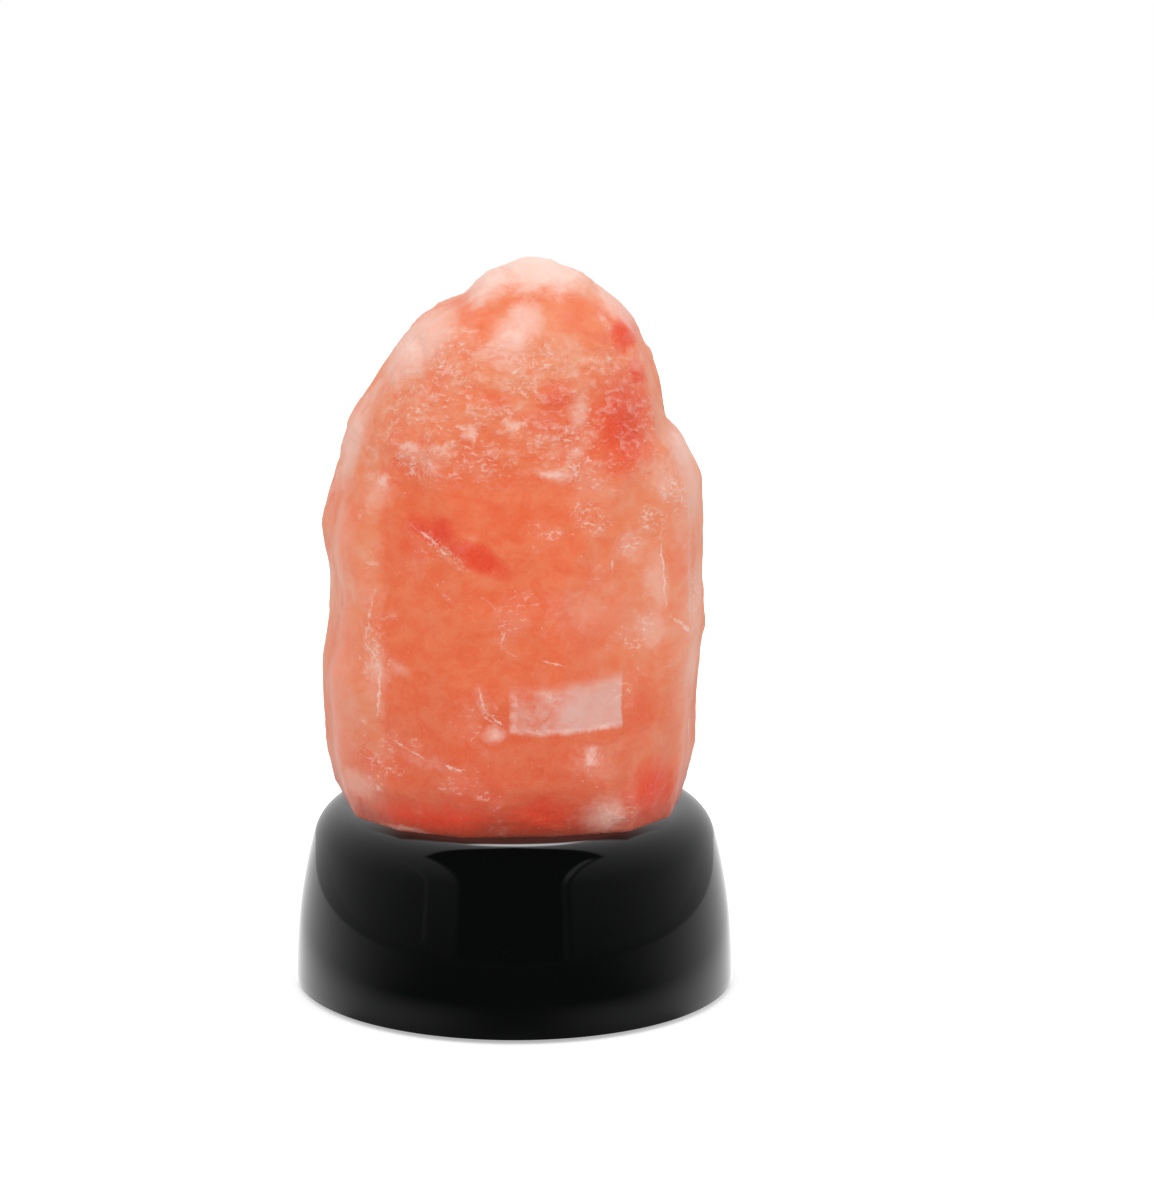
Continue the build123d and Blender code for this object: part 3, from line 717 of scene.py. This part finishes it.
def lathe(name, outline, sides, axis="Z", centre=(0, 0, 0)):
    """Turns a closed outline of (radius, height) points about Z, or about Y with height along Y."""
    shape = bmesh.new()
    turn = [2 * pi * side / sides for side in range(sides)]
    rings = []
    for radius, height in outline:
        if radius == 0:
            rings.append([shape.verts.new((0, 0, height))])
        else:
            ring = [(radius * cos(angle), radius * sin(angle), height) for angle in turn]
            rings.append([shape.verts.new(corner) for corner in ring])
    for one, other in zip(rings, rings[1:] + rings[:1]):
        if len(one) == 1 and len(other) == 1:
            continue
        for side in range(sides):
            after = (side + 1) % sides
            below = [one[side % len(one)], one[after % len(one)]]
            above = [other[after % len(other)], other[side % len(other)]]
            shape.faces.new(list(dict.fromkeys(below + above)))
    bmesh.ops.recalc_face_normals(shape, faces=shape.faces)
    if axis == "Y":
        shape.transform(Matrix.Rotation(-pi / 2, 4, "X"))
    shape.transform(Matrix.Translation(centre))
    return new_piece(name, as_mesh(name, shape))


def arc(centre, radius, start, end, steps):
    """Points on an arc from start to end degrees, both included."""
    angles = [radians(start + (end - start) * step / steps) for step in range(steps + 1)]
    return [(centre[0] + radius * cos(a), centre[1] + radius * sin(a)) for a in angles]


def circle(centre, radius, sides=48):
    """The corners of a many-sided circle, the first not repeated."""
    return arc(centre, radius, 0, 360, sides)[:-1]


def prism(name, outline, near, far):
    """A solid with that outline in X and Z, from y near to y far."""
    shape = bmesh.new()
    front = shape.faces.new([shape.verts.new((x, near, z)) for x, z in outline])
    grown = bmesh.ops.extrude_face_region(shape, geom=[front])
    moved = [v for v in grown["geom"] if isinstance(v, bmesh.types.BMVert)]
    bmesh.ops.translate(shape, verts=moved, vec=(0, far - near, 0))
    bmesh.ops.recalc_face_normals(shape, faces=shape.faces)
    return new_piece(name, as_mesh(name, shape))


def rounded_box(centre, width, height, corner, steps=8):
    """The outline of an upright rectangle with round corners."""
    outline = []
    for quarter, (side, end) in enumerate([(1, 1), (-1, 1), (-1, -1), (1, -1)]):
        x = centre[0] + side * (width / 2 - corner)
        z = centre[1] + end * (height / 2 - corner)
        outline += arc((x, z), corner, 90 * quarter, 90 * quarter + 90, steps)
    return outline


def carve(piece, tool, operation="DIFFERENCE"):
    """Cuts the tool out of the piece, or joins it on, and removes the tool."""
    cut = piece.modifiers.new("cut", "BOOLEAN")
    cut.operation = operation
    cut.solver = "EXACT"
    cut.object = tool
    bake(piece)
    bpy.data.objects.remove(tool)


def soften(piece, angle=40):
    """Smooth shading, with edges sharper than the angle kept."""
    piece.data.shade_smooth()
    piece.data.set_sharp_from_angle(angle=radians(angle))


# ---- Base housing: the turned form with its true arcs, and the pocket behind ---------------------
base_low, base_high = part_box("base_housing")
base_radius = base_high.y     # the solid's turned form reaches this far all round
base_sides = 192
shoulder_steps, side_steps, rim_steps = 18, 16, 4
rim_z = base_low.z
seat_z = base_high.z
side_radius = 110 * mm
shoulder_radius = 8 * mm
wall = 2.2 * mm
rim_round = 0.25 * mm
hole_radius = 12.75 * mm
shoulder_z = seat_z - shoulder_radius
side_centre = (base_radius - side_radius, rim_z)
# the side's arc runs from rim_start up to join_angle, where the shoulder's takes over
rim_start = asin(rim_round / side_radius)
join_angle = asin((shoulder_z - rim_z) / (side_radius - shoulder_radius))
seat_radius = side_centre[0] + (side_radius - shoulder_radius) * cos(join_angle)

panel_centre = (0, 14 * mm)
panel_y = 36 * mm
panel_inside_y = panel_y - wall
panel_width = 26 * mm
panel_height = 11 * mm
panel_corner = 2 * mm
panel_border = 2 * mm
block_depth = 3 * mm          # how far inside the rim the pocket's thickened wall ends

socket_low, socket_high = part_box("power_socket_shell")
cap_low, cap_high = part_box("button_cap")
button_centre = ((cap_low.x + cap_high.x) / 2, (cap_low.z + cap_high.z) / 2)
socket_gap = 0.3 * mm
button_radius = 3.9 * mm
button_gap = 0.2 * mm


def housing():
    outside = [(hole_radius, seat_z)]
    join, start = degrees(join_angle), degrees(rim_start)
    outside += arc((seat_radius, shoulder_z), shoulder_radius, 90, join, shoulder_steps)
    outside += arc(side_centre, side_radius, join, start, side_steps)[1:]
    rim_centre = (base_radius - rim_round, rim_z + rim_round)
    outside += arc(rim_centre, rim_round, 0, -90, rim_steps)[1:]
    inside = [
        (base_radius - wall, rim_z),
        (side_centre[0] + side_radius * cos(join_angle) - wall, shoulder_z),
        (seat_radius, seat_z - wall),
        (hole_radius, seat_z - wall),
    ]
    shell = lathe("base_shell", outside + inside, base_sides)

    block_width = panel_width + 2 * panel_border
    block_height = panel_height + 2 * panel_border
    block = rounded_box(panel_centre, block_width, block_height, panel_corner + panel_border)
    carve(shell, prism("pocket_block", block, panel_inside_y, base_radius - block_depth), "UNION")
    pocket = rounded_box(panel_centre, panel_width, panel_height, panel_corner)
    carve(shell, prism("pocket", pocket, panel_y, base_radius + wall))
    socket_centre = ((socket_low.x + socket_high.x) / 2, (socket_low.z + socket_high.z) / 2)
    slot_width = socket_high.x - socket_low.x + 2 * socket_gap
    slot_height = socket_high.z - socket_low.z + 2 * socket_gap
    almost_round = slot_height / 2 * 0.999
    slot = rounded_box(socket_centre, slot_width, slot_height, almost_round, 10)
    carve(shell, prism("slot", slot, panel_inside_y - wall, panel_y + wall))
    bore = circle(button_centre, button_radius + button_gap)
    carve(shell, prism("bore", bore, panel_inside_y - wall, panel_y + wall))

    soften(shell)
    dress(shell, "black_gloss")
    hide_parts("base_housing")
    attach(shell, "lamp")


housing()

# ---- Push button: a rounded edge, a shallow dish for the fingertip, and the flange behind --------
button_sides = 72
button_edge = 0.7 * mm
dish_depth = 0.35 * mm
dish_radius = button_radius - 1.5 * button_edge
dish_steps = (1, 0.85, 0.7, 0.5, 0.3, 0.15)
flange_width = 9 * mm
flange_corner = 0.4 * mm
flange_thickness = 1.2 * mm
flange_gap = 0.3 * mm


def button():
    front = cap_high.y
    outline = [(0, cap_low.y), (button_radius, cap_low.y)]
    outline += arc((button_radius - button_edge, front - button_edge), button_edge, 0, 90, 8)
    for share in dish_steps:
        hollow = dish_depth * cos(share * pi / 2) ** 1.4
        outline.append((dish_radius * share, front - hollow))
    outline.append((0, front - dish_depth))
    button_x, button_z = button_centre
    cap = lathe("button_key", outline, button_sides, "Y", (button_x, 0, button_z))
    square = rounded_box(button_centre, flange_width, flange_width, flange_corner, 3)
    flange_back = panel_inside_y - flange_gap - flange_thickness
    carve(cap, prism("flange", square, flange_back, flange_back + flange_thickness), "UNION")
    soften(cap)
    dress(cap, "black_gloss")
    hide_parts("button_cap")
    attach(cap, "button")


button()

# ---- Salt rock -----------------------------------------------------------------------------------
salt_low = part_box("salt_crystal")[0]
voxel = 0.6 * mm
smoothing_steps = 16
crisp_height = 5 * mm         # below this the edges are smoothed less, and least at the bottom

# In millimetres, as is all the relief:
salt_bottom = salt_low.z / mm
well_keep = 17.5              # no relief this near the well's axis, below its top
well_top = 60.0
edge_height = 3.0             # over this height the relief starts and the edge is drawn out
edge_draw = 0.8
edge_inside = 21.5            # nothing is drawn out nearer the axis than this
cap_start = 126
cap_depth = 8
grain_turn = Matrix.Rotation(radians(12), 3, "Z") @ Matrix.Rotation(radians(8), 3, "Y")
split_planes = ((0, 5.2, 0.34), (1, 6.4, 0.34), (2, 4.6, 0.3))     # axis, spacing and step


def steps(value, softness=0.25):
    """A stair that climbs 1 for each 1 of value, flat most of the way."""
    whole = np.floor(value)
    part = np.clip((value - whole - 0.5) / softness + 0.5, 0, 1)
    return whole + part * part * (3 - 2 * part)


def clouds(points, size, octaves):
    """Fractal noise at each point, about -1 to 1, with lumps of that size."""
    return np.array([noise.fractal(Vector(p) / size, 1.0, 2.1, octaves) for p in points])


def worn_crystal():
    """The crystal's solid in small even faces, with its edges worn round."""
    stone = new_piece("salt_rock", frame["nodes"]["salt_crystal"].data.copy())
    remesh = stone.modifiers.new("remesh", "REMESH")
    remesh.mode = "VOXEL"
    remesh.voxel_size = voxel
    bake(stone)
    worn = stone.vertex_groups.new(name="worn")
    for vertex in stone.data.vertices:
        share = min(1.0, max(0.0, (vertex.co.z - salt_low.z) / crisp_height))
        worn.add([vertex.index], share * share, "REPLACE")
    smooth = stone.modifiers.new("smooth", "SMOOTH")
    smooth.factor = 0.5
    smooth.iterations = smoothing_steps
    smooth.vertex_group = worn.name
    bake(stone)
    return stone


def relief(points, normals):
    """How far each point stands out: lumps, thin terraces along the split planes, and grit."""
    lumps = clouds(points, 17.0, 2) * 0.4 + clouds(points + 40, 6.0, 3) * 0.22
    swirl = np.stack([clouds(points + shift, 9.0, 2) for shift in (7, 23, 61)], 1)
    warped = points + 2.2 * swirl
    grain = np.array(grain_turn)
    along = warped @ grain
    facing = np.abs(normals @ grain)
    terrace = np.zeros(len(points))
    for axis, spacing, step in split_planes:
        stair = along[:, axis] / spacing
        terrace += (steps(stair) - stair) * step * facing[:, axis]
    where = np.clip(clouds(points + 90, 11.0, 2) * 2.2 + 0.2, 0, 1)
    grit = clouds(warped + 11, 1.9, 3) * 0.12
    behind = 1 + 0.9 * np.clip(normals[:, 1], 0, 1)      # rougher at the back
    capped = np.clip((points[:, 2] - cap_start) / cap_depth, 0, 1)
    return 0.1 - 0.75 * capped + (lumps + terrace * where + grit * (0.25 + 0.9 * where)) * behind


def rock():
    stone = worn_crystal()
    mesh = stone.data
    flat = np.zeros(len(mesh.vertices) * 3)
    mesh.vertices.foreach_get("co", flat)
    points = flat.reshape(-1, 3) / mm
    mesh.vertex_normals.foreach_get("vector", flat)
    normals = flat.reshape(-1, 3).copy()

    reach = np.hypot(points[:, 0], points[:, 1])
    height = points[:, 2]
    risen = (height - salt_bottom) / edge_height
    free = np.clip(risen, 0, 1)
    free[(reach < well_keep) & (height < well_top)] = 0
    points = points + normals * (relief(points, normals) * free)[:, None]
    # the remesh rounds the bottom edge off, so it is drawn out again
    edge = np.clip(1 - risen, 0, 1) * (reach > edge_inside)
    points[:, :2] *= 1 + (edge * edge_draw / np.maximum(reach, 1))[:, None]
    points[:, 2] = np.minimum(points[:, 2], cad_high.z / mm)
    mesh.vertices.foreach_set("co", (points * mm).astype(np.float32).ravel())
    mesh.update()
    mesh.shade_smooth()
    dress(stone, "salt")
    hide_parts("salt_crystal")
    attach(stone, "lamp")
    return stone


stone = rock()

# The photographed seat's gloss shows no salt but its foot, which painted_salt_reflection draws, so reflections
# don't see the rock, nor the dome that stands inside it.
stone.visible_glossy = False
frame["nodes"]["light_dome"].visible_glossy = False

# ---- Floor, studio light and what the gloss reflects ---------------------------------------------
floor_back, floor_front, floor_side = 0.6, -0.35, 0.32
room_radius = 0.9
strip_light = 2.6
foot_height = 2 * mm          # how much of the salt is copied for the seat's gloss to show
painted_reflection_glow = 0.3


def stage_piece(name, mesh):
    """A piece that isn't part of the lamp."""
    piece = new_piece(name, mesh)
    return piece


def walls(back):
    """How bright the room's walls are in a direction: black in front, white behind."""
    share = back * 0.5 + 0.5
    return 0.03 + share * share * 0.8


def floor():
    """To the camera, white but for the lamp's soft shadow; in the gloss, a sheet and the walls."""
    corners = [
        Vector((-floor_side, floor_front, 0)),
        Vector((floor_side, floor_front, 0)),
        Vector((floor_side, floor_back, 0)),
        Vector((-floor_side, floor_back, 0)),
    ]
    mesh = bpy.data.meshes.new("floor")
    mesh.from_pydata(corners, [], [range(4)])
    piece = stage_piece("floor", mesh)
    finish = Finish("floor")
    finish.set(Base_Color=(0.86, 0.86, 0.86, 1), Roughness=0.9, Specular_IOR_Level=0.0)
    seen, mirrored = finish.rays("Is Camera Ray", "Is Glossy Ray")
    place = finish.place()
    x, y = place.part("X"), place.part("Y")
    reach = place.length()

    # in the gloss: a round white sheet about the lamp, brighter towards the back and close to the
    # lamp's sides, and the walls past it
    fan = finish.add("ShaderNodeCombineXYZ", {}, {"X": abs(x) - 28.0, "Y": y + 25.0})
    share = fan.direction().part("Y") * 0.5 + 0.5
    sheet = 0.02 + share * share * 1.3 + reach.rise(80, 45) * abs(x).rise(0, 45) * 0.4
    sheet_middle = {0: place, 1: (0, -55, 0)}
    from_middle = finish.add("ShaderNodeVectorMath", {"operation": "DISTANCE"}, sheet_middle)
    past = from_middle.rise(205, 222)
    glow = sheet * (1 - past) + walls(place.direction().part("Y")) * past
    glow = finish.add("ShaderNodeEmission", {}, {"Color": glow})

    white = seen * (0.42 + reach.rise(38, 110) * 0.45)
    white = finish.add("ShaderNodeEmission", {}, {"Color": white})
    plain = Wire(finish, finish.shader.outputs[0])
    lit = finish.add("ShaderNodeAddShader", {}, {0: plain, 1: white})
    shown = finish.add("ShaderNodeMixShader", {}, {0: mirrored, 1: lit, 2: glow})
    below = finish.add("ShaderNodeNewGeometry", {}, {}, "Backfacing")
    clear = finish.add("ShaderNodeBsdfTransparent", {}, {})
    finish.show(finish.add("ShaderNodeMixShader", {}, {0: below, 1: shown, 2: clear}))
    piece.data.materials.append(finish.owner)


def only_reflected(piece, finish):
    """Gives the piece that finish, and leaves it to be seen in reflections alone."""
    piece.data.materials.append(finish.owner)
    piece.visible_camera = False
    piece.visible_diffuse = False
    piece.visible_transmission = False
    piece.visible_shadow = False
    piece.visible_volume_scatter = False


def room():
    """The room that the gloss reflects: a ball round the lamp that only reflections see."""
    shape = bmesh.new()
    bmesh.ops.create_icosphere(shape, subdivisions=4, radius=room_radius)
    piece = stage_piece("room", as_mesh("room", shape))
    finish = Finish("room")
    away = finish.place().direction()
    x, y, z = (away.part(axis) for axis in "XYZ")
    # a black card ahead and overhead, a thin line of light at either side of it, and a strip
    # light high up behind the lamp
    card = (abs(x) + y.or_more(0.0) * 0.75).rise(0.53, 0.47)
    ahead = y.rise(0.0, -0.2)
    right_line = abs(x - 0.45).rise(0.035, 0.012) * ahead * (0.05 + z.rise(0.2, 0.7) * 0.3)
    left_line = abs(x + 0.745).rise(0.02, 0.006) * ahead * z.rise(-0.02, 0.02) * 0.07
    strip = abs(x + 0.005).rise(0.10, 0.05) * y.rise(0.0, 0.2)
    strip = strip * z.rise(0.44, 0.54) * z.rise(0.72, 0.62) * strip_light
    bright = (walls(y) + z.or_more(0.0) * 0.2) * (1 - card) + 0.015
    bright = bright + right_line + left_line + strip
    finish.show(finish.add("ShaderNodeEmission", {}, {"Color": bright}))
    only_reflected(piece, finish)


def painted_salt_reflection():
    """The salt's lowest part as the seat's gloss shows it, a painted reflection: a dim red line
    that soon fades.
    """
    shape = bmesh.new()
    shape.from_mesh(stone.data)
    above = [vertex for vertex in shape.verts if vertex.co.z > salt_low.z + foot_height]
    bmesh.ops.delete(shape, geom=above, context="VERTS")
    piece = stage_piece("painted_salt_reflection", as_mesh("painted_salt_reflection", shape))
    finish = Finish("painted_salt_reflection")
    place = finish.place()
    share = place.part("Z").rise(salt_bottom + 0.9, salt_bottom + 0.2)
    share = share * abs(place.part("X")).rise(30, 18)
    # painted reflection: a dim red glow in place of the salt's mirrored foot
    sockets = {"Color": tint(255, 150, 136), "Strength": painted_reflection_glow}
    glow = finish.add("ShaderNodeEmission", {}, sockets)
    clear = finish.add("ShaderNodeBsdfTransparent", {}, {})
    finish.show(finish.add("ShaderNodeMixShader", {}, {0: share, 1: clear, 2: glow}))
    only_reflected(piece, finish)


def lamp_light(name, azimuth, tilt, size, distance, power):
    """A soft square light that reflections don't see, aimed at the lamp."""
    data = bpy.data.lights.new(name, "AREA")
    data.shape = "SQUARE"
    data.size = size
    data.energy = power
    light = bpy.data.objects.new(name, data)
    turn, up = radians(azimuth), radians(tilt)
    away = Vector((sin(turn) * cos(up), -cos(turn) * cos(up), sin(up)))
    light.location = view_centre + away * distance
    light.rotation_euler = away.to_track_quat("Z", "Y").to_euler()
    light.visible_glossy = False
    bpy.context.scene.collection.objects.link(light)


def surroundings():
    """A plain pale world, pure white where it is seen directly, in gloss or through glass."""
    world = bpy.data.worlds.new("studio")
    bpy.context.scene.world = world
    finish = Finish("studio", world)
    seen, mirrored, through = finish.rays("Is Camera Ray", "Is Glossy Ray", "Is Transmission Ray")
    background = finish.nodes["Background"].inputs
    finish.feed(background["Color"], (1, 1, 1, 1))
    finish.feed(background["Strength"], 0.7 + seen.or_more(mirrored).or_more(through) * 0.3)


floor()
room()
painted_salt_reflection()
# azimuth and tilt in degrees, size and distance in metres, power in watts
lamp_light("key", -35, 42, 0.5, 0.7, 1.25)
lamp_light("fill", 50, 30, 0.5, 0.8, 1.15)
lamp_light("top", 170, 70, 0.5, 0.7, 1.1)
surroundings()

# ---- The end -------------------------------------------------------------------------------------
bpy.context.view_layer.update()
